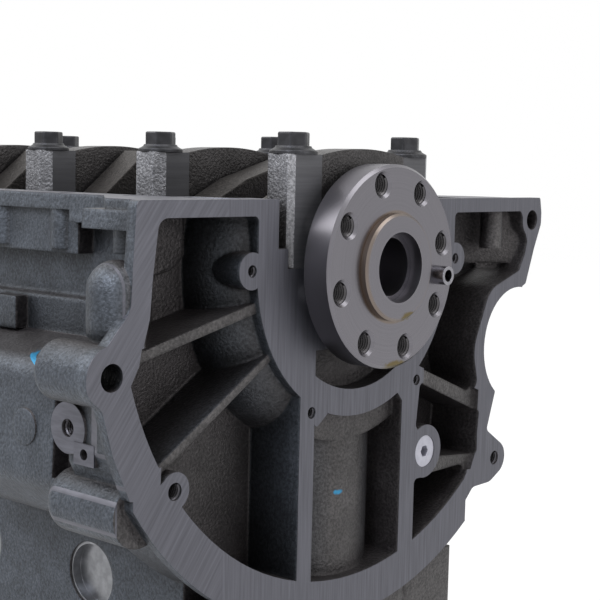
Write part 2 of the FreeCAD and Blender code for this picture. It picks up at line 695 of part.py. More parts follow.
def main_bolt(x, y):
    seat = CRANK_HEIGHT + CAP_SEAT_HEIGHT
    flange = Part.makeCone(BOLT_FLANGE_RADIUS, BOLT_FLANGE_RADIUS - 1.5, BOLT_FLANGE_HEIGHT, Vec(x, y, seat))
    head = hexagon(x, y, BOLT_HEX_WIDTH, seat + 1, seat + BOLT_HEAD_HEIGHT)
    shank = post(x, y, MAIN_BOLT_RADIUS - 0.1, CRANK_HEIGHT - MAIN_BOLT_DEPTH + 4, seat + 1)
    return joined([flange, head, shank])


# ---------------------------------------------------------------- crankshaft
def cheek(y0, sign):
    """One crank cheek with its counterweight, pin side towards +Z times sign."""
    slope = math.asin((MAIN_CHEEK_RADIUS - PIN_CHEEK_RADIUS) / THROW)
    waist_x = MAIN_CHEEK_RADIUS * math.cos(slope)
    waist_z = sign * MAIN_CHEEK_RADIUS * math.sin(slope)
    pin_x = PIN_CHEEK_RADIUS * math.cos(slope)
    pin_z = sign * (THROW + PIN_CHEEK_RADIUS * math.sin(slope))
    drop = math.radians(COUNTERWEIGHT_DROP)
    weight_x = COUNTERWEIGHT_RADIUS * math.cos(drop)
    weight_z = -sign * COUNTERWEIGHT_RADIUS * math.sin(drop)
    right = [crank_point(weight_x, weight_z, y0), crank_point(waist_x, waist_z, y0), crank_point(pin_x, pin_z, y0)]
    left = [crank_point(-weight_x, weight_z, y0), crank_point(-waist_x, waist_z, y0), crank_point(-pin_x, pin_z, y0)]
    pin_top = crank_point(0, sign * (THROW + PIN_CHEEK_RADIUS), y0)
    weight_foot = crank_point(0, -sign * COUNTERWEIGHT_RADIUS, y0)
    edges = [
        Part.LineSegment(right[0], right[1]).toShape(),
        Part.LineSegment(right[1], right[2]).toShape(),
        Part.Arc(right[2], pin_top, left[2]).toShape(),
        Part.LineSegment(left[2], left[1]).toShape(),
        Part.LineSegment(left[1], left[0]).toShape(),
        Part.Arc(left[0], weight_foot, right[0]).toShape(),
    ]
    return Part.Face(Part.Wire(edges)).extrude(Vec(0, CHEEK_THICKNESS, 0))


def key_blank(clearance):
    """Half-moon key of the timing end, before the shaft is turned to its rest angle."""
    half = KEY_WIDTH / 2.0 + clearance
    centre = crank_point(-half, NOSE_RADIUS, FRONT_Y + NOSE_SEAT_LENGTH + KEY_RADIUS + 5)
    disc = Part.makeCylinder(KEY_RADIUS + clearance, 2 * half, centre, Vec(1, 0, 0))
    return disc.common(box(-9, 9, FRONT_Y, FRONT_Y + 90, 0, NOSE_RADIUS + KEY_OUT))


def at_rest_angle(shape):
    shape.rotate(crank_point(0, 0), CROSS_Y, 90 - CRANK_PHASE)
    return shape


def crankshaft():
    parts = []
    reach = PIN_LENGTH / 2.0
    for i, y in enumerate(BORE_YS):
        sign = 1 if i in (0, CYLINDERS - 1) else -1
        parts.append(rod(0, sign * THROW, PIN_JOURNAL / 2.0, y - reach - 1, y + reach + 1))
        parts.append(cheek(y - reach - CHEEK_THICKNESS, sign))
        parts.append(cheek(y + reach, sign))
    reach = JOURNAL_HALF + 1
    parts.append(rod(0, 0, JOURNAL_RADIUS, REAR_Y - 2, MAIN_YS[0] + reach))
    parts.append(rod(0, 0, JOURNAL_RADIUS, MAIN_YS[-1] - reach, FRONT_Y + 2))
    for y in MAIN_YS[1:-1]:
        parts.append(rod(0, 0, JOURNAL_RADIUS, y - reach, y + reach))
    # Thrust collars either side of the centre journal.
    parts.append(rod(0, 0, COLLAR_RADIUS, -JOURNAL_HALF - 1, COLLAR_HEIGHT - JOURNAL_HALF))
    parts.append(rod(0, 0, COLLAR_RADIUS, JOURNAL_HALF - COLLAR_HEIGHT, JOURNAL_HALF + 1))
    parts.append(turned([
        (0, REAR_Y), (SEAL_NECK_RADIUS, REAR_Y - 0.6), (SEAL_NECK_RADIUS, FLANGE_BACK_Y),
        (FLANGE_RADIUS - 1, FLANGE_BACK_Y), (FLANGE_RADIUS, FLANGE_BACK_Y - 1),
        (FLANGE_RADIUS, FLANGE_FACE_Y + FLANGE_CHAMFER), (FLANGE_RADIUS - FLANGE_CHAMFER, FLANGE_FACE_Y),
        (SPIGOT_RADIUS, FLANGE_FACE_Y), (SPIGOT_RADIUS, FLANGE_FACE_Y - SPIGOT_OUT + 1.2),
        (SPIGOT_RADIUS - 1.2, FLANGE_FACE_Y - SPIGOT_OUT), (0, FLANGE_FACE_Y - SPIGOT_OUT),
    ]))
    parts.append(turned([
        (0, FRONT_Y + 1), (NOSE_SEAT_RADIUS, FRONT_Y + 1), (NOSE_SEAT_RADIUS, FRONT_Y + NOSE_SEAT_LENGTH),
        (NOSE_RADIUS, FRONT_Y + NOSE_SEAT_LENGTH), (NOSE_RADIUS, FRONT_Y + NOSE_LENGTH - 1.5),
        (NOSE_RADIUS - 1.5, FRONT_Y + NOSE_LENGTH), (0, FRONT_Y + NOSE_LENGTH),
    ]))
    crank = joined(parts).cut(key_blank(SEAT_CLEARANCE))
    crank = at_rest_angle(crank)
    front = FLANGE_FACE_Y - SPIGOT_OUT
    crank = crank.cut(rod(0, 0, PILOT_MOUTH_RADIUS, front - 1, front + PILOT_MOUTH_DEPTH))
    crank = crank.cut(rod(0, 0, PILOT_RADIUS, front - 1, front + PILOT_DEPTH))
    crank = crank.cut(rod(0, 0, NOSE_SCREW_RADIUS, FRONT_Y + NOSE_LENGTH - NOSE_SCREW_DEPTH,
                          FRONT_Y + NOSE_LENGTH + 1))
    for i in range(FLANGE_HOLES):
        angle = math.radians(FLANGE_HOLE_START + 360.0 / FLANGE_HOLES * i)
        x = FLANGE_HOLE_CIRCLE / 2.0 * math.cos(angle)
        z = FLANGE_HOLE_CIRCLE / 2.0 * math.sin(angle)
        crank = crank.cut(rod(x, z, FLANGE_HOLE_RADIUS, FLANGE_FACE_Y - 1, FLANGE_BACK_Y + 1))
        mouth = Part.makeCone(FLANGE_HOLE_RADIUS + FLANGE_HOLE_CHAMFER, FLANGE_HOLE_RADIUS, FLANGE_HOLE_CHAMFER,
                              crank_point(x, z, FLANGE_FACE_Y), CROSS_Y)
        crank = crank.cut(mouth)
    crank = crank.cut(rod(DOWEL_X, DOWEL_Z, DOWEL_RADIUS + SEAT_CLEARANCE, FLANGE_FACE_Y - 1,
                          FLANGE_FACE_Y + DOWEL_SEAT_DEPTH))
    return crank


def flange_dowel():
    y0 = FLANGE_FACE_Y - DOWEL_OUT
    y1 = FLANGE_FACE_Y + DOWEL_SEAT_DEPTH
    sleeve = rod(DOWEL_X, DOWEL_Z, DOWEL_RADIUS, y0, y1)
    return sleeve.cut(rod(DOWEL_X, DOWEL_Z, DOWEL_BORE_RADIUS, y0 - 1, y1 + 1))


def hexagon_socket(x, z, y0):
    """Six-sided drive socket seen end-on along the crank axis."""
    points = [crank_point(x + PLUG_SOCKET_RADIUS * math.cos(math.radians(60 * i)),
                          z + PLUG_SOCKET_RADIUS * math.sin(math.radians(60 * i)), y0) for i in range(6)]
    return Part.Face(Part.makePolygon(points + [points[0]])).extrude(Vec(0, PLUG_SOCKET_DEPTH, 0))


def gallery_plug():
    plug = rod(PLUG_X, PLUG_Z, PLUG_RADIUS - SEAT_CLEARANCE, REAR_Y + 0.4, REAR_Y + PLUG_DEPTH)
    return plug.cut(hexagon_socket(PLUG_X, PLUG_Z, REAR_Y))


def end_plug():
    plug = rod(END_PLUG_X, END_PLUG_Z, END_PLUG_RADIUS - SEAT_CLEARANCE,
               FRONT_Y - END_PLUG_DEPTH, FRONT_Y - 0.4)
    return plug.cut(hexagon_socket(END_PLUG_X, END_PLUG_Z, FRONT_Y - PLUG_SOCKET_DEPTH))


def core_plug(side, y):
    """Pressed cup plug in the water jacket wall, open side out."""
    outer = DECK_HALF - 1
    cup = side_rod(y, CORE_PLUG_HEIGHT - CRANK_HEIGHT, CORE_PLUG_RADIUS - SEAT_CLEARANCE,
                   side * outer, side * (DECK_HALF - CORE_PLUG_DEPTH + 0.2))
    hollow = side_rod(y, CORE_PLUG_HEIGHT - CRANK_HEIGHT, CORE_PLUG_RADIUS - CORE_PLUG_WALL,
                      side * (outer + 1), side * (DECK_HALF - CORE_PLUG_DEPTH + 0.2 + CORE_PLUG_WALL))
    return cup.cut(hollow)


def thrust_washer(side):
    """Half ring in the centre bulkhead that sets the shaft's end float."""
    inner = THRUST_FACE - THRUST_THICKNESS
    low = min(side * inner, side * THRUST_FACE)
    high = max(side * inner, side * THRUST_FACE)
    ring = rod(0, 0, THRUST_OUTER_RADIUS, low, high).cut(rod(0, 0, THRUST_INNER_RADIUS, low, high))
    return ring.common(box(-60, 60, -60, 60, -60, -0.3))


def thrust_recess(side):
    inner = THRUST_FACE - THRUST_THICKNESS - SEAT_CLEARANCE
    low = min(side * inner, side * (WEB_THICKNESS / 2.0 + 1))
    high = max(side * inner, side * (WEB_THICKNESS / 2.0 + 1))
    return rod(0, 0, THRUST_OUTER_RADIUS + 0.5, low, high)


def cooling_jet(y):
    """Oil nozzle pressed in the crankcase roof beside its bore, aimed up the cylinder."""
    body = post(JET_X, y, JET_RADIUS, ROOF_Z - JET_SEAT_DEPTH, ROOF_Z + 1)
    head = hexagon(JET_X, y, 2 * JET_RADIUS + 2, ROOF_Z + 0.2, ROOF_Z + 4)
    pipe = Part.makeCylinder(1.3, 11, Vec(JET_X, y, ROOF_Z + 2.4), Vec(-1, 0, 0.12))
    return joined([body, head, pipe])


os.makedirs("parts", exist_ok=True)
export(cylinder_block(), "cylinder_block")
export(crankshaft(), "crankshaft")
export(flange_dowel(), "flange_dowel")
export(at_rest_angle(key_blank(0)), "nose_key")
export(gallery_plug(), "rear_gallery_plug")
export(end_plug(), "front_gallery_plug")
export(Part.makeCompound([core_plug(side, y) for y in CORE_PLUG_YS for side in (-1, 1)]), "core_plugs")
export(Part.makeCompound([thrust_washer(side) for side in (-1, 1)]), "thrust_washers")
export(Part.makeCompound([cooling_jet(y) for y in BORE_YS]), "piston_cooling_jets")
for number, y in enumerate(reversed(MAIN_YS), start=1):
    export(main_cap(y), "main_cap_%d" % number)
    export(half_shell(y, True), "upper_bearing_shell_%d" % number)
    export(half_shell(y, False), "lower_bearing_shell_%d" % number)
export(Part.makeCompound([main_bolt(x, y) for x, y in bearing_bolt_places()]), "main_cap_bolts")
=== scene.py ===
import bpy
import bmesh
import json
import math
from mathutils import Matrix, Vector


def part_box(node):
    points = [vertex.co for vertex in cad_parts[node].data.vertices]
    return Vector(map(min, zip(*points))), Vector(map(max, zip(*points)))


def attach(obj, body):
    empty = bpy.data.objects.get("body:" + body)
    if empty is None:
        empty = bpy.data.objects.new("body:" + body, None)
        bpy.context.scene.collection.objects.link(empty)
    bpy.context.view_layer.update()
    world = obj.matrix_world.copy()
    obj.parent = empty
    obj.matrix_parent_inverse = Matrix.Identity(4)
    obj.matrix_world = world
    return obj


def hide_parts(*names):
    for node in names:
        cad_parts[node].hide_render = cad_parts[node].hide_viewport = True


# Dressing of a cast-iron short block: iron, steel and aluminium finishes on the packed
# solids, with bolt heads and screw threads as pieces of their own.
# Metres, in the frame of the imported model.

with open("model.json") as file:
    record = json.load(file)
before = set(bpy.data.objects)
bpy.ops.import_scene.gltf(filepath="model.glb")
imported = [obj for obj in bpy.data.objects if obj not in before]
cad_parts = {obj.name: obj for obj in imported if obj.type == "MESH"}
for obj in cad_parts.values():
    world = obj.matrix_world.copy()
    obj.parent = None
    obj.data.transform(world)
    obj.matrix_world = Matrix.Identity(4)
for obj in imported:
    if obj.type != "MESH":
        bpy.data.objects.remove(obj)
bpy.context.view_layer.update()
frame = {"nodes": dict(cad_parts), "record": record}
nodes = frame["nodes"]
mounts = {mount["name"]: mount for mount in frame["record"]["mounts"]}

MM = 0.001

# ---------------------------------------------------------------- places read from the frame
block_low, block_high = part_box("cylinder_block")
crank_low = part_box("crankshaft")[0]
bolts_low, bolts_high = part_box("main_cap_bolts")
REAR_Y = block_low.y
FRONT_Y = block_high.y
RAIL_Z = block_high.z
CRANK_Z = mounts["pilot_bore"]["pos_m"][2]
CAP_NAMES = ["main_cap_%d" % i for i in range(1, 6)]
CAP_YS = [(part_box(name)[0].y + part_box(name)[1].y) / 2 for name in CAP_NAMES[1:-1]]
SHELL_NAMES = ["%s_bearing_shell_%d" % (half, i) for i in range(1, 6) for half in ("upper", "lower")]

# ---------------------------------------------------------------- places that a finish follows
# Crankshaft: spigot, journals and the two rows of crankpins.
SPIGOT_OUT = 4.0 * MM
SPIGOT_RADIUS = 28.4 * MM
SPIGOT_FACE_RADIUS = 25.6 * MM
FLANGE_FACE_Y = crank_low.y + SPIGOT_OUT
JOURNAL_RADIUS = 30.0 * MM
PIN_RADIUS = 25.0 * MM
THROW = 47.3 * MM
CRANK_ANGLE = math.radians(32.0)
# Block: bearing seats, the edge of the rear flange and the rail that is painted pale as a highlight, and
# the machined pads.
BEARING_SEAT_RADIUS = 32.55 * MM
LIP_DEPTH = 6.5 * MM
FLARE_THICKNESS = 14.5 * MM
OVAL_PAD_X = -160.5 * MM
SMALL_PAD_X = -161.0 * MM
# The cutter crossed the left arm of the flange aslant; its marks take over between these two.
ARM_START_X = -98.0 * MM
ARM_FULL_X = -102.0 * MM
ARM_CUT_ANGLE = 38
# Caps: the columns under the bolts, and their broached outer facets.
COLUMN_INNER_X = 33.5 * MM
FACET_INNER_X = 48.0 * MM
# How far a surface may lie from the plane or cylinder that names its finish.
PLANE_SLACK = 0.3 * MM
ROUND_SLACK = 0.4 * MM
# Marking paint: a line that falls towards the flange, and a dab in the middle window.
PAINT_LINE_SLOPE = 0.338
PAINT_LINE_DROP = 9.2 * MM
PAINT_LINE_HALF_WIDTH = 0.8 * MM
PAINT_LINE_MIDDLE = (-0.146, -0.1085, CRANK_Z - 0.0459)
PAINT_LINE_REACH = (0.02, 0.0078, 0.02)
PAINT_DAB_MIDDLE = (-0.006, REAR_Y + 0.02, CRANK_Z - 0.1205)
PAINT_DAB_REACH = (0.0035, 0.03, 0.0018)
# Dried oil: on the flange's face and on the spigot's, each low down.
FLANGE_OIL_MIDDLE = (0.003, FLANGE_FACE_Y, CRANK_Z - 0.0505)
FLANGE_OIL_REACH = (0.009, 0.02, 0.0026)
SPIGOT_OIL_MIDDLE = (0.008, crank_low.y, CRANK_Z - 0.0255)
SPIGOT_OIL_REACH = (0.007, 0.02, 0.0028)

# ---------------------------------------------------------------- sizes of the added pieces
BOLT_FLANGE_RADIUS = 12.0 * MM
BOLT_HEX_WIDTH = 14.6 * MM
BOLT_HEX_FOOT = 3.0 * MM
BOLT_HEX_CHAMFER = 0.8 * MM
BOLT_HEAD_HEIGHT = 10.8 * MM
BOLT_TOP_RIM = 1.2 * MM
BOLT_TOP_HOLLOW = 0.5 * MM
# Flange and shank of a cap bolt as (radius, height above the seat) in millimetres.
BOLT_PROFILE = [
    (0, -107.0), (5.0, -107.0), (5.9, -106.1), (5.9, 0), (12.0, 0), (12.0, 1.3),
    (11.7, 1.8), (10.6, 2.3), (9.4, 3.0), (8.8, 4.0), (0, 4.0),
]
ROUND_STEPS = 32
# Seal carrier screws, as (x, height above the crank axis) in millimetres.
CARRIER_SCREWS = [(-82.5, 0.0), (85.0, 0.0), (-37.0, -73.5), (51.5, -66.0)]
CARRIER_SCREW_RADIUS = 3.0 * MM
FLANGE_HOLE_START = 15.0
FINE_PITCH = 1.25 * MM
FLANGE_PITCH = 1.5 * MM
THREAD_STEPS = 24
# A thread starts below the chamfer of its hole and stops short of the hole's foot.
SCREW_CHAMFER = 1.0 * MM
FLANGE_CHAMFER = 1.6 * MM
FLANGE_THREAD_DEPTH = 13.5 * MM
BELL_THREAD_DEPTH = 20.0 * MM
CARRIER_THREAD_DEPTH = 12.0 * MM
PAD_THREAD_DEPTH = 15.0 * MM

# ---------------------------------------------------------------- studio
WHITE_FLOOR_GLOW = 1.12
WHITE_FLOOR_SHARE = 0.85
FLOOR_HALF_WIDTH = 4.0
SOFT_LIGHT = 0.3
LAMPS_AIM = Vector((0.0, -0.1, 0.2))
CAMERA_PLACE = (-0.54443, -0.63388, 0.29648)
CAMERA_YAW = 0.8531845
CAMERA_PITCH = 0.1000003
CAMERA_ROLL = 0.0228708
CAMERA_LENS = 80.58


# ---------------------------------------------------------------- materials
# Sockets of the Mix node, by what it mixes.
FACTOR, VALUE_A, VALUE_B, VECTOR_A, VECTOR_B, COLOUR_A, COLOUR_B = 0, 2, 3, 4, 5, 6, 7
VALUE_OUT, VECTOR_OUT, COLOUR_OUT = 0, 1, 2


def linear(hex_colour):
    """Linear colour of an sRGB hex value such as 3c3d41."""
    values = [int(hex_colour[i:i + 2], 16) / 255.0 for i in (0, 2, 4)]
    return [v / 12.92 if v <= 0.04045 else ((v + 0.055) / 1.055) ** 2.4 for v in values] + [1.0]


def per_metre(size_mm):
    """Texture scale that makes one cell about size_mm across."""
    return 1.0 / (size_mm * MM)


def add(tree, kind, inputs=None, **settings):
    """Adds a node, gives it its settings, and sets or links its inputs."""
    made = tree.nodes.new(kind)
    for name, value in settings.items():
        setattr(made, name, value)
    for name, value in (inputs or {}).items():
        if isinstance(value, bpy.types.NodeSocket):
            tree.links.new(value, made.inputs[name])
        else:
            made.inputs[name].default_value = value
    return made


def empty_material(name):
    material = bpy.data.materials.new(name)
    material.use_nodes = True
    material.node_tree.nodes.clear()
    return material, material.node_tree


def at_plane(tree, coordinate, place):
    """1 where a coordinate lies on a plane, 0 elsewhere."""
    near = add(tree, "ShaderNodeMath", {0: coordinate, 1: place, 2: PLANE_SLACK}, operation="COMPARE")
    return near.outputs[0]


def either(tree, masks):
    """1 where any of the masks is 1."""
    whole = masks[0]
    for mask in masks[1:]:
        whole = add(tree, "ShaderNodeMath", {0: whole, 1: mask}, operation="MAXIMUM").outputs[0]
    return whole


def near_line(tree, place, centre, along, radius, soft):
    """1 within a radius of a line through a point, along X, Y or Z, fading over the soft width."""
    flat = [0.0 if axis == along else 1.0 for axis in "XYZ"]
    offset = add(tree, "ShaderNodeVectorMath", {0: place, 1: centre}, operation="SUBTRACT").outputs[0]
    across = add(tree, "ShaderNodeVectorMath", {0: offset, 1: flat}, operation="MULTIPLY").outputs[0]
    reach = add(tree, "ShaderNodeVectorMath", {0: across}, operation="LENGTH").outputs["Value"]
    return add(tree, "ShaderNodeMapRange", {0: reach, 1: radius + soft, 2: radius}, clamp=True).outputs[0]


def near_point(tree, place, centre, radii):
    """1 inside an egg of three radii round a point, with a ragged edge."""
    offset = add(tree, "ShaderNodeVectorMath", {0: place, 1: centre}, operation="SUBTRACT").outputs[0]
    shrunk = add(tree, "ShaderNodeVectorMath", {0: offset, 1: radii}, operation="DIVIDE").outputs[0]
    reach = add(tree, "ShaderNodeVectorMath", {0: shrunk}, operation="LENGTH").outputs["Value"]
    ragged = add(tree, "ShaderNodeTexNoise", {"Vector": place, "Scale": per_metre(3.0), "Detail": 2.0})
    moved = add(tree, "ShaderNodeMath", {0: ragged.outputs["Fac"], 1: 0.9, 2: reach},
                operation="MULTIPLY_ADD")
    return add(tree, "ShaderNodeMapRange", {0: moved.outputs[0], 1: 1.5, 2: 1.1}, clamp=True).outputs[0]


def cast_skin_and_shade(tree, place, shade_colour, open_colour, grain_mm, depth_mm):
    """Sand-cast skin: colour, with painted shade that darkens it where the form shelters it, and the height
    of its grain.
    """
    # The real grain is about 0.4 mm; it is drawn coarser, to show at all.
    # Painted shade: the colour darkens towards the shade colour where ambient occlusion finds the form
    # close around.
    light_reach = add(tree, "ShaderNodeAmbientOcclusion", {"Distance": 45.0 * MM}, samples=5).outputs["AO"]
    light_reach = add(tree, "ShaderNodeMapRange", {0: light_reach, 1: 0.42, 2: 0.98}, clamp=True).outputs[0]
    mottle = add(tree, "ShaderNodeTexNoise", {"Vector": place, "Scale": per_metre(16.0), "Detail": 3.0})
    mottle = add(tree, "ShaderNodeMapRange", {0: mottle.outputs["Fac"], 1: 0.3, 2: 0.7, 3: 0.8, 4: 1.2})
    grain = add(tree, "ShaderNodeTexNoise", {"Vector": place, "Scale": per_metre(grain_mm), "Detail": 2.0,
                                             "Roughness": 0.6}).outputs["Fac"]
    speck = add(tree, "ShaderNodeMapRange", {0: grain, 1: 0.35, 2: 0.68, 3: 0.7, 4: 1.45}, clamp=True)
    strength = add(tree, "ShaderNodeMath", {0: mottle.outputs[0], 1: speck.outputs[0]},
                   operation="MULTIPLY").outputs[0]
    shade = add(tree, "ShaderNodeMix", {FACTOR: light_reach, COLOUR_A: shade_colour, COLOUR_B: open_colour},
                data_type="RGBA").outputs[COLOUR_OUT]
    colour = add(tree, "ShaderNodeVectorMath", {0: shade, "Scale": strength}, operation="SCALE").outputs[0]
    height = add(tree, "ShaderNodeMath", {0: grain, 1: depth_mm * MM}, operation="MULTIPLY").outputs[0]
    return colour, height


def milled(tree, place, turn, across_mm):
    """Streaks that a face mill leaves: fine across, long along, turned in the XZ plane."""
    # The real marks are about 0.3 mm apart; they are drawn wider, to show at all.
    moved = add(tree, "ShaderNodeMapping", {"Vector": place, "Rotation": (0, math.radians(turn), 0),
                                            "Scale": (across_mm * MM, across_mm * MM * 8, 40 * MM)},
                vector_type="TEXTURE").outputs[0]
    streak = add(tree, "ShaderNodeTexNoise", {"Vector": moved, "Scale": 1.0, "Detail": 2.0,
                                              "Roughness": 0.6}).outputs["Fac"]
    return add(tree, "ShaderNodeMapRange", {0: streak, 1: 0.3, 2: 0.7}, clamp=True).outputs[0]


def turned(tree, place, across_mm):
    """Rings that a lathe tool leaves about the crank axis, uneven from one to the next."""
    offset = add(tree, "ShaderNodeVectorMath", {0: place, 1: (0, 0, CRANK_Z)},
                 operation="SUBTRACT").outputs[0]
    across = add(tree, "ShaderNodeVectorMath", {0: offset, 1: (1, 0, 1)}, operation="MULTIPLY").outputs[0]
    reach = add(tree, "ShaderNodeVectorMath", {0: across}, operation="LENGTH").outputs["Value"]
    ring = add(tree, "ShaderNodeTexNoise", {"W": reach, "Scale": per_metre(across_mm), "Detail": 2.0,
                                            "Roughness": 0.6}, noise_dimensions="1D").outputs["Fac"]
    return add(tree, "ShaderNodeMapRange", {0: ring, 1: 0.3, 2: 0.7}, clamp=True).outputs[0]


def two_finishes(tree, cut, cast, face, bevel_mm):
    """Joins a cast skin and a cut face by the mask of the cut.

    Each finish is (colour, height, metallic, roughness).
    """
    normal = add(tree, "ShaderNodeNewGeometry").outputs["Normal"]
    soft = add(tree, "ShaderNodeBevel", {"Radius": bevel_mm * MM}, samples=6).outputs["Normal"]
    base = add(tree, "ShaderNodeMix", {FACTOR: cut, VECTOR_A: soft, VECTOR_B: normal}, data_type="VECTOR")
    colour = add(tree, "ShaderNodeMix", {FACTOR: cut, COLOUR_A: cast[0], COLOUR_B: face[0]},
                 data_type="RGBA")
    height = add(tree, "ShaderNodeMix", {FACTOR: cut, VALUE_A: cast[1], VALUE_B: face[1]})
    metallic = add(tree, "ShaderNodeMix", {FACTOR: cut, VALUE_A: cast[2], VALUE_B: face[2]})
    roughness = add(tree, "ShaderNodeMix", {FACTOR: cut, VALUE_A: cast[3], VALUE_B: face[3]})
    bumped = add(tree, "ShaderNodeBump", {"Height": height.outputs[VALUE_OUT], "Distance": 1.0,
                                          "Normal": base.outputs[VECTOR_OUT]})
    shader = add(tree, "ShaderNodeBsdfPrincipled", {
        "Base Color": colour.outputs[COLOUR_OUT], "Metallic": metallic.outputs[VALUE_OUT],
        "Roughness": roughness.outputs[VALUE_OUT], "Normal": bumped.outputs[0], "Specular IOR Level": 0.3,
    })
    add(tree, "ShaderNodeOutputMaterial", {"Surface": shader.outputs[0]})


def grey_iron_block():
    """Grey iron, sand-cast and face-milled: a dark granular skin, and flat faces with fine cutter marks."""
    material, tree = empty_material("grey_iron_block")
    place = add(tree, "ShaderNodeTexCoord").outputs["Object"]
    parts = add(tree, "ShaderNodeSeparateXYZ", {0: place}).outputs
    planes = [(parts["Y"], REAR_Y), (parts["Y"], FRONT_Y), (parts["Z"], RAIL_Z), (parts["Z"], block_low.z),
              (parts["X"], OVAL_PAD_X), (parts["X"], SMALL_PAD_X)]
    cut = [at_plane(tree, coordinate, plane) for coordinate, plane in planes]
    cut.append(near_line(tree, place, (0, 0, CRANK_Z), "Y", BEARING_SEAT_RADIUS, ROUND_SLACK))
    for i in range(1, 5):
        bore = mounts["cylinder_bore_%d" % i]
        cut.append(near_line(tree, place, bore["pos_m"], "Z", bore["dims"]["r_mm"] * MM, ROUND_SLACK))
    cut = either(tree, cut)
    # Outward-facing walls are painted blue-grey, a painted tint of the cool lamp on the left, and at the
    # lip and along the rail they are painted paler, a painted highlight. The insides are painted dark, a
    # painted shade.
    facing = add(tree, "ShaderNodeNewGeometry").outputs["Normal"]
    facing = add(tree, "ShaderNodeSeparateXYZ", {0: facing}).outputs
    side = add(tree, "ShaderNodeMath", {0: parts["X"]}, operation="SIGN").outputs[0]
    outward = add(tree, "ShaderNodeMath", {0: facing["X"], 1: side}, operation="MULTIPLY").outputs[0]
    outward = add(tree, "ShaderNodeMapRange", {0: outward, 1: 0.2, 2: 0.8}, clamp=True).outputs[0]
    on_lip = add(tree, "ShaderNodeMath", {0: parts["Y"], 1: REAR_Y + LIP_DEPTH},
                 operation="LESS_THAN").outputs[0]
    on_rail = add(tree, "ShaderNodeMath", {0: parts["Z"], 1: RAIL_Z - FLARE_THICKNESS},
                  operation="GREATER_THAN").outputs[0]
    edge = add(tree, "ShaderNodeMath", {0: either(tree, [on_lip, on_rail]), 1: outward},
               operation="MULTIPLY").outputs[0]
    lit_colour = add(tree, "ShaderNodeMix",
                {FACTOR: outward, COLOUR_A: linear("444242"), COLOUR_B: linear("3f4349")},
                data_type="RGBA").outputs[COLOUR_OUT]
    # Painted highlight: the outward faces of the lip and the rail are painted paler.
    lit_colour = add(tree, "ShaderNodeMix", {FACTOR: edge, COLOUR_A: lit_colour, COLOUR_B: linear("44484e")},
                data_type="RGBA").outputs[COLOUR_OUT]
    # Painted shade: the colours that the recesses darken to.
    shaded_colour = add(tree, "ShaderNodeMix",
                 {FACTOR: outward, COLOUR_A: linear("343132"), COLOUR_B: linear("1d1e20")},
                 data_type="RGBA").outputs[COLOUR_OUT]
    skin, grain = cast_skin_and_shade(tree, place, shaded_colour, lit_colour, 1.5, 0.45)
    on_arm = add(tree, "ShaderNodeMapRange", {0: parts["X"], 1: ARM_START_X, 2: ARM_FULL_X},
                 clamp=True).outputs[0]
    straight = milled(tree, place, 0, 1.4)
    aslant = milled(tree, place, ARM_CUT_ANGLE, 1.4)
    marks = add(tree, "ShaderNodeMix",
                {FACTOR: on_arm, VALUE_A: straight, VALUE_B: aslant}).outputs[VALUE_OUT]
    face = add(tree, "ShaderNodeMix",
               {FACTOR: marks, COLOUR_A: linear("525258"), COLOUR_B: linear("616168")},
               data_type="RGBA").outputs[COLOUR_OUT]
    scored = add(tree, "ShaderNodeMath", {0: marks, 1: 0.02 * MM}, operation="MULTIPLY").outputs[0]
    along = add(tree, "ShaderNodeMath", {0: parts["Y"], 1: PAINT_LINE_SLOPE, 2: CRANK_Z - PAINT_LINE_DROP},
                operation="MULTIPLY_ADD").outputs[0]
    on_line = add(tree, "ShaderNodeMath", {0: parts["Z"], 1: along, 2: PAINT_LINE_HALF_WIDTH},
                  operation="COMPARE").outputs[0]
    stretch = near_point(tree, place, PAINT_LINE_MIDDLE, PAINT_LINE_REACH)
    line = add(tree, "ShaderNodeMath", {0: on_line, 1: stretch}, operation="MULTIPLY").outputs[0]
    dab = near_point(tree, place, PAINT_DAB_MIDDLE, PAINT_DAB_REACH)
    paint = either(tree, [line, dab])
    skin = add(tree, "ShaderNodeMix", {FACTOR: paint, COLOUR_A: skin, COLOUR_B: linear("2f7fa6")},
               data_type="RGBA").outputs[COLOUR_OUT]
    two_finishes(tree, cut, (skin, grain, 0.5, 0.45), (face, scored, 0.75, 0.42), 2.8)
    return material


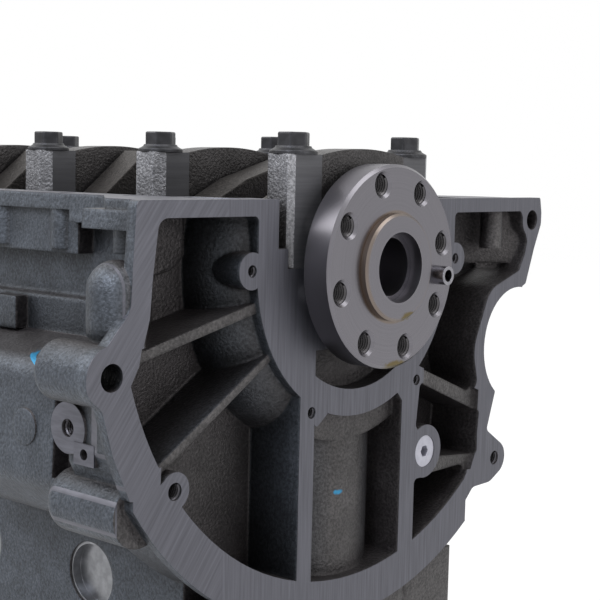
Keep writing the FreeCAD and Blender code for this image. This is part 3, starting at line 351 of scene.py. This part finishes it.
def grey_iron_caps():
    """Grey iron, sand-cast with milled ends: granular crowns and columns between smooth dark grey ends."""
    material, tree = empty_material("grey_iron_caps")
    place = add(tree, "ShaderNodeTexCoord").outputs["Object"]
    parts = add(tree, "ShaderNodeSeparateXYZ", {0: place}).outputs
    facing = add(tree, "ShaderNodeNewGeometry").outputs["True Normal"]
    facing = add(tree, "ShaderNodeSeparateXYZ", {0: facing}).outputs
    level = add(tree, "ShaderNodeMath", {0: facing["Y"]}, operation="ABSOLUTE").outputs[0]
    level = add(tree, "ShaderNodeMath", {0: level, 1: 0.95}, operation="GREATER_THAN").outputs[0]
    # The outer facets of the columns are coarse-grained, and painted bright: a painted highlight where the
    # strong light from the left falls on them.
    outward = add(tree, "ShaderNodeMath", {0: facing["X"]}, operation="ABSOLUTE").outputs[0]
    outward = add(tree, "ShaderNodeMath", {0: outward, 1: 0.4}, operation="GREATER_THAN").outputs[0]
    far = add(tree, "ShaderNodeMath", {0: parts["X"]}, operation="ABSOLUTE").outputs[0]
    column = add(tree, "ShaderNodeMath", {0: far, 1: COLUMN_INNER_X}, operation="GREATER_THAN").outputs[0]
    cut = add(tree, "ShaderNodeMath", {0: level, 1: column}, operation="MULTIPLY").outputs[0]
    far = add(tree, "ShaderNodeMath", {0: far, 1: FACET_INNER_X}, operation="GREATER_THAN").outputs[0]
    facet = add(tree, "ShaderNodeMath", {0: outward, 1: far}, operation="MULTIPLY").outputs[0]
    # Painted highlight: the facets take the brighter colour.
    lit_colour = add(tree, "ShaderNodeMix",
                {FACTOR: facet, COLOUR_A: linear("484646"), COLOUR_B: linear("7d7d80")},
                data_type="RGBA").outputs[COLOUR_OUT]
    # Painted shade: 2c2a2a is the colour that sheltered parts darken to.
    skin, grain = cast_skin_and_shade(tree, place, linear("2c2a2a"), lit_colour, 1.4, 0.6)
    marks = milled(tree, place, 90, 1.6)
    face = add(tree, "ShaderNodeMix",
               {FACTOR: marks, COLOUR_A: linear("505053"), COLOUR_B: linear("5a5a5d")},
               data_type="RGBA").outputs[COLOUR_OUT]
    scored = add(tree, "ShaderNodeMath", {0: marks, 1: 0.015 * MM}, operation="MULTIPLY").outputs[0]
    two_finishes(tree, cut, (skin, grain, 0.55, 0.42), (face, scored, 0.6, 0.42), 1.0)
    return material


def forged_crank_steel():
    """Forged steel, turned and ground where it runs: dark scaly cheeks, bright rings on the flange."""
    material, tree = empty_material("forged_crank_steel")
    place = add(tree, "ShaderNodeTexCoord").outputs["Object"]
    parts = add(tree, "ShaderNodeSeparateXYZ", {0: place}).outputs
    throw_x = THROW * math.cos(CRANK_ANGLE)
    throw_z = THROW * math.sin(CRANK_ANGLE)
    cut = [
        add(tree, "ShaderNodeMath", {0: parts["Y"], 1: REAR_Y}, operation="LESS_THAN").outputs[0],
        add(tree, "ShaderNodeMath", {0: parts["Y"], 1: FRONT_Y}, operation="GREATER_THAN").outputs[0],
        near_line(tree, place, (0, 0, CRANK_Z), "Y", JOURNAL_RADIUS, ROUND_SLACK),
        near_line(tree, place, (throw_x, 0, CRANK_Z + throw_z), "Y", PIN_RADIUS, ROUND_SLACK),
        near_line(tree, place, (-throw_x, 0, CRANK_Z - throw_z), "Y", PIN_RADIUS, ROUND_SLACK),
    ]
    cut = either(tree, cut)
    # Painted shade: the cheeks darken from 3a3735 towards 1e1c1b where the form shelters them.
    skin, grain = cast_skin_and_shade(tree, place, linear("1e1c1b"), linear("3a3735"), 1.6, 0.5)
    rings = turned(tree, place, 1.2)
    face = add(tree, "ShaderNodeMix",
               {FACTOR: rings, COLOUR_A: linear("716f74"), COLOUR_B: linear("757378")},
               data_type="RGBA").outputs[COLOUR_OUT]
    # The step of the spigot is painted warm, a painted reflection, and preserving oil has dried at two low
    # places.
    inside = near_line(tree, place, (0, 0, CRANK_Z), "Y", SPIGOT_RADIUS, 1.0 * MM)
    core = near_line(tree, place, (0, 0, CRANK_Z), "Y", SPIGOT_FACE_RADIUS, 1.2 * MM)
    warm_reflection = add(tree, "ShaderNodeMath", {0: inside, 1: core}, operation="SUBTRACT").outputs[0]
    # Painted reflection: a warm tint on the step of the spigot.
    face = add(tree, "ShaderNodeMix", {FACTOR: warm_reflection, COLOUR_A: face, COLOUR_B: linear("786e67")},
               data_type="RGBA").outputs[COLOUR_OUT]
    oil = either(tree, [
        near_point(tree, place, FLANGE_OIL_MIDDLE, FLANGE_OIL_REACH),
        near_point(tree, place, SPIGOT_OIL_MIDDLE, SPIGOT_OIL_REACH),
    ])
    face = add(tree, "ShaderNodeMix", {FACTOR: oil, COLOUR_A: face, COLOUR_B: linear("665b40")},
               data_type="RGBA").outputs[COLOUR_OUT]
    scored = add(tree, "ShaderNodeMath", {0: rings, 1: 0.002 * MM}, operation="MULTIPLY").outputs[0]
    # The rim is turned and duller than the ground face, which looks along the axis.
    facing = add(tree, "ShaderNodeNewGeometry").outputs["Normal"]
    level = add(tree, "ShaderNodeSeparateXYZ", {0: facing}).outputs["Y"]
    level = add(tree, "ShaderNodeMath", {0: level}, operation="ABSOLUTE").outputs[0]
    gloss = add(tree, "ShaderNodeMapRange", {0: level, 1: 0.1, 2: 0.9, 3: 0.38, 4: 0.27}).outputs[0]
    two_finishes(tree, cut, (skin, grain, 0.5, 0.45), (face, scored, 1.0, gloss), 1.5)
    return material


def small_metal(name, colour, worn_colour, metallic, roughness, bevel_mm=0.3):
    """A small turned, pressed or forged piece: one metal, faintly clouded, with slightly broken edges."""
    material, tree = empty_material(name)
    place = add(tree, "ShaderNodeTexCoord").outputs["Object"]
    cloud = add(tree, "ShaderNodeTexNoise", {"Vector": place, "Scale": per_metre(4.0), "Detail": 3.0})
    cloud = add(tree, "ShaderNodeMapRange", {0: cloud.outputs["Fac"], 1: 0.35, 2: 0.7}, clamp=True)
    shade = add(tree, "ShaderNodeMix", {FACTOR: cloud.outputs[0], COLOUR_A: linear(colour),
                                        COLOUR_B: linear(worn_colour)}, data_type="RGBA")
    soft = add(tree, "ShaderNodeBevel", {"Radius": bevel_mm * MM}, samples=4).outputs["Normal"]
    shader = add(tree, "ShaderNodeBsdfPrincipled", {
        "Base Color": shade.outputs[COLOUR_OUT], "Metallic": metallic, "Roughness": roughness,
        "Normal": soft,
    })
    add(tree, "ShaderNodeOutputMaterial", {"Surface": shader.outputs[0]})
    return material


def cut_threads(name, colour):
    """Tapped metal: its own grey on the first turns, with painted shade that turns it near black further
    in.
    """
    material, tree = empty_material(name)
    # Painted shade: darker where the hole closes round the thread.
    mouth = add(tree, "ShaderNodeAmbientOcclusion", {"Distance": 9.0 * MM}, samples=4).outputs["AO"]
    mouth = add(tree, "ShaderNodeMapRange", {0: mouth, 1: 0.25, 2: 0.95}, clamp=True).outputs[0]
    shade = add(tree, "ShaderNodeMix",
                {FACTOR: mouth, COLOUR_A: linear("0e0d0d"), COLOUR_B: linear(colour)},
                data_type="RGBA").outputs[COLOUR_OUT]
    shader = add(tree, "ShaderNodeBsdfPrincipled", {"Base Color": shade, "Metallic": 1.0, "Roughness": 0.3})
    add(tree, "ShaderNodeOutputMaterial", {"Surface": shader.outputs[0]})
    return material


def give(material, *names):
    for name in names:
        nodes[name].material_slots[0].material = material


# Black oxide on forged bolts: near black, with a dull sheen on the flats.
black_oxide_bolts = small_metal("black_oxide_bolts", "2a2a2c", "38383b", 0.7, 0.42)
# Bright turned steel: the clean glint of the dowel and the key.
bright_turned_steel = small_metal("bright_turned_steel", "85848a", "97969b", 1.0, 0.25)
# Cold-pressed steel: satin cups, clouded where the press gripped them.
core_plug_steel = small_metal("pressed_steel_core_plugs", "77787b", "8b8c8f", 1.0, 0.35)
# Clear-anodised aluminium: a pale, slightly milky disc in the dark iron.
plug_aluminium = small_metal("anodised_aluminium_plugs", "a6a6b0", "b2b2bb", 0.6, 0.45)
# Tin-aluminium bearing metal: warm and satin, broached smooth.
bearing_metal = small_metal("bearing_metal", "8c867e", "9a948c", 1.0, 0.35)
# Yellow-tinged zinc plating on the oil nozzles.
zinc_plating = small_metal("zinc_plated_jets", "857f74", "958f84", 1.0, 0.35)
tapped_steel = cut_threads("tapped_steel", "5c5a5c")
tapped_iron = cut_threads("tapped_iron", "66656a")

give(grey_iron_block(), "cylinder_block")
give(grey_iron_caps(), *CAP_NAMES)
give(forged_crank_steel(), "crankshaft")
give(bright_turned_steel, "flange_dowel", "nose_key")
give(core_plug_steel, "core_plugs")
give(plug_aluminium, "rear_gallery_plug", "front_gallery_plug")
give(bearing_metal, "thrust_washers", *SHELL_NAMES)
give(zinc_plating, "piston_cooling_jets")


# ---------------------------------------------------------------- added pieces
def finished_piece(name, mesh, body, material):
    """Turns a bmesh into a piece that rides on a body."""
    bmesh.ops.remove_doubles(mesh, verts=mesh.verts, dist=0.001 * MM)
    bmesh.ops.recalc_face_normals(mesh, faces=mesh.faces)
    data = bpy.data.meshes.new(name)
    mesh.to_mesh(data)
    mesh.free()
    data.materials.append(material)
    piece = bpy.data.objects.new(name, data)
    bpy.context.scene.collection.objects.link(piece)
    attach(piece, body)
    return piece


def turn_up(mesh, x, y, z, profile):
    """Turned form about an upright axis from (radius, height) points that start and end on it."""
    points = [mesh.verts.new((x + radius, y, z + height)) for radius, height in profile]
    edges = [mesh.edges.new((points[i], points[i + 1])) for i in range(len(points) - 1)]
    bmesh.ops.spin(mesh, geom=points + edges, cent=(x, y, z), axis=(0, 0, 1), angle=2 * math.pi,
                   steps=ROUND_STEPS, use_merge=True)


def cap_bolt(mesh, x, y):
    """Flanged hexagon bolt: dished flange, chamfered hexagon with a shallow hollow, plain shank."""
    seat = bolts_high.z - BOLT_HEAD_HEIGHT
    turn_up(mesh, x, y, seat, [(radius * MM, height * MM) for radius, height in BOLT_PROFILE])
    corner = BOLT_HEX_WIDTH / math.sqrt(3.0)
    foot = Matrix.Translation((x, y, seat + BOLT_HEX_FOOT))
    ring = bmesh.ops.create_circle(mesh, cap_ends=True, segments=6, radius=corner, matrix=foot)
    base = ring["verts"][0].link_faces[0]
    raised = bmesh.ops.extrude_face_region(mesh, geom=[base], use_keep_orig=True)["geom"]
    top = [item for item in raised if isinstance(item, bmesh.types.BMVert)]
    bmesh.ops.translate(mesh, verts=top, vec=(0, 0, BOLT_HEAD_HEIGHT - BOLT_HEX_FOOT))
    lid = next(item for item in raised if isinstance(item, bmesh.types.BMFace))
    edges = [edge for vert in top for edge in vert.link_edges]
    posts = [edge for edge in edges if abs(edge.verts[0].co.z - edge.verts[1].co.z) > MM]
    rims = list(lid.edges)
    bmesh.ops.bevel(mesh, geom=posts + rims, offset=BOLT_HEX_CHAMFER, segments=2, profile=0.5,
                    affect="EDGES", material=-1)
    crown = Vector((x, y, bolts_high.z))
    near_crown = [face for face in mesh.faces if (face.calc_center_median() - crown).length < 2.0 * MM]
    lid = max(near_crown, key=lambda face: face.calc_area())
    bmesh.ops.inset_individual(mesh, faces=[lid], thickness=BOLT_TOP_RIM, depth=0.0)
    bmesh.ops.inset_individual(mesh, faces=[lid], thickness=BOLT_TOP_HOLLOW, depth=-BOLT_TOP_HOLLOW)


def cap_bolts():
    mesh = bmesh.new()
    offset = bolts_high.x - BOLT_FLANGE_RADIUS
    ends = [bolts_low.y + BOLT_FLANGE_RADIUS, bolts_high.y - BOLT_FLANGE_RADIUS]
    for y in [ends[0]] + CAP_YS + [ends[1]]:
        for x in (-offset, offset):
            cap_bolt(mesh, x, y)
    piece = finished_piece("cap_bolts", mesh, "block", black_oxide_bolts)
    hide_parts("main_cap_bolts")


def screw_thread(mesh, mouth, inward, radius, pitch, depth):
    """Thread ridge down a hole: a three-sided section spun and carried inward."""
    mouth = Vector(mouth)
    inward = Vector(inward)
    across = inward.orthogonal().normalized()
    section = [(radius, 0.04), (radius - 0.5 * pitch, 0.5), (radius, 0.96)]
    points = [mesh.verts.new(mouth + across * reach + inward * pitch * share) for reach, share in section]
    edges = [mesh.edges.new((points[i], points[(i + 1) % 3])) for i in range(3)]
    turns = int(depth / pitch)
    made = bmesh.ops.spin(mesh, geom=points + edges, cent=mouth, axis=inward,
                          dvec=inward * pitch / THREAD_STEPS, angle=2 * math.pi * turns,
                          steps=THREAD_STEPS * turns)
    last = [item for item in made["geom_last"] if isinstance(item, bmesh.types.BMVert)]
    mesh.faces.new(points)
    mesh.faces.new(last)


def flange_threads():
    mesh = bmesh.new()
    holes = mounts["flywheel_bolts"]["dims"]
    reach = holes["pcd_mm"] * MM / 2
    start_y = FLANGE_FACE_Y + FLANGE_CHAMFER
    for i in range(holes["count"]):
        angle = math.radians(FLANGE_HOLE_START + 360.0 / holes["count"] * i)
        mouth = (reach * math.cos(angle), start_y, CRANK_Z + reach * math.sin(angle))
        screw_thread(mesh, mouth, (0, 1, 0), holes["hole_r_mm"] * MM, FLANGE_PITCH, FLANGE_THREAD_DEPTH)
    finished_piece("flange_threads", mesh, "crank", tapped_steel)


def block_threads():
    mesh = bmesh.new()
    start_y = REAR_Y + SCREW_CHAMFER
    for name in ("bell_screw_left", "bell_screw_right"):
        x, y, z = mounts[name]["pos_m"]
        radius = mounts[name]["dims"]["r_mm"] * MM
        screw_thread(mesh, (x, start_y, z), (0, 1, 0), radius, FINE_PITCH, BELL_THREAD_DEPTH)
    for x, z in CARRIER_SCREWS:
        mouth = (x * MM, start_y, CRANK_Z + z * MM)
        screw_thread(mesh, mouth, (0, 1, 0), CARRIER_SCREW_RADIUS, FINE_PITCH, CARRIER_THREAD_DEPTH)
    pad = mounts["side_pad_screw"]
    mouth = (OVAL_PAD_X + SCREW_CHAMFER, pad["pos_m"][1], pad["pos_m"][2])
    screw_thread(mesh, mouth, (1, 0, 0), pad["dims"]["r_mm"] * MM, FINE_PITCH, PAD_THREAD_DEPTH)
    finished_piece("block_threads", mesh, "block", tapped_iron)


cap_bolts()
flange_threads()
block_threads()


# ---------------------------------------------------------------- floor, light and camera
def seen_directly(tree):
    """1 for camera, mirror and glass rays, which are shown the white background."""
    rays = add(tree, "ShaderNodeLightPath").outputs
    return either(tree, [rays["Is Camera Ray"], rays["Is Glossy Ray"], rays["Is Transmission Ray"]])


def studio_world():
    world = bpy.data.worlds.new("studio")
    bpy.context.scene.world = world
    world.use_nodes = True
    tree = world.node_tree
    tree.nodes.clear()
    strength = add(tree, "ShaderNodeMix", {FACTOR: seen_directly(tree), VALUE_A: SOFT_LIGHT, VALUE_B: 1.0})
    light = add(tree, "ShaderNodeBackground", {"Color": linear("ffffff"),
                                               "Strength": strength.outputs[VALUE_OUT]})
    add(tree, "ShaderNodeOutputWorld", {"Surface": light.outputs[0]})


def studio_floor():
    """White floor, mostly its own white and a little lit, so that it keeps the shadow."""
    mesh = bmesh.new()
    bmesh.ops.create_grid(mesh, x_segments=1, y_segments=1, size=FLOOR_HALF_WIDTH)
    data = bpy.data.meshes.new("studio_floor")
    mesh.to_mesh(data)
    mesh.free()
    floor = bpy.data.objects.new("studio_floor", data)
    bpy.context.scene.collection.objects.link(floor)
    material, tree = empty_material("white_floor")
    paint = add(tree, "ShaderNodeBsdfDiffuse", {"Color": linear("f4f4f4")})
    glow = add(tree, "ShaderNodeEmission", {"Color": linear("ffffff"), "Strength": WHITE_FLOOR_GLOW})
    share = add(tree, "ShaderNodeMath", {0: seen_directly(tree), 1: WHITE_FLOOR_SHARE},
                operation="MULTIPLY")
    both = add(tree, "ShaderNodeMixShader", {0: share.outputs[0], 1: paint.outputs[0], 2: glow.outputs[0]})
    add(tree, "ShaderNodeOutputMaterial", {"Surface": both.outputs[0]})
    data.materials.append(material)


def softbox(name, place, width, height, power, colour):
    data = bpy.data.lights.new(name, "AREA")
    data.shape = "RECTANGLE"
    data.size = width
    data.size_y = height
    data.energy = power
    data.color = linear(colour)[:3]
    lamp = bpy.data.objects.new(name, data)
    lamp.location = place
    lamp.rotation_euler = (LAMPS_AIM - Vector(place)).to_track_quat("-Z", "Y").to_euler()
    bpy.context.scene.collection.objects.link(lamp)


def studio_camera():
    """Camera low and to the left of the flywheel end, on a long lens."""
    ahead_flat = Vector((math.sin(CAMERA_YAW), math.cos(CAMERA_YAW), 0))
    right_flat = Vector((math.cos(CAMERA_YAW), -math.sin(CAMERA_YAW), 0))
    up_flat = Vector((0, 0, 1))
    ahead = math.cos(CAMERA_PITCH) * ahead_flat - math.sin(CAMERA_PITCH) * up_flat
    up_level = math.cos(CAMERA_PITCH) * up_flat + math.sin(CAMERA_PITCH) * ahead_flat
    right = math.cos(CAMERA_ROLL) * right_flat + math.sin(CAMERA_ROLL) * up_level
    up = math.cos(CAMERA_ROLL) * up_level - math.sin(CAMERA_ROLL) * right_flat
    data = bpy.data.cameras.new("studio_camera")
    data.lens = CAMERA_LENS
    data.sensor_width = 36.0
    data.clip_start = 0.01
    camera = bpy.data.objects.new("studio_camera", data)
    turn = Matrix((right, up, -ahead)).transposed()
    camera.matrix_world = Matrix.Translation(CAMERA_PLACE) @ turn.to_4x4()
    bpy.context.scene.collection.objects.link(camera)
    bpy.context.scene.camera = camera


studio_world()
studio_floor()
softbox("left_softbox", (-1.25, -0.35, 1.2), 0.8, 1.2, 24.0, "eef2fb")
softbox("top_softbox", (0.2, -0.6, 1.8), 1.2, 1.2, 12.0, "ffffff")
softbox("rear_softbox", (-0.95, 1.3, 1.7), 1.1, 1.7, 24.0, "ffffff")
softbox("front_softbox", (0.5, -1.9, 0.7), 1.0, 1.2, 9.0, "ffffff")
studio_camera()
bpy.context.scene.view_settings.view_transform = "Standard"
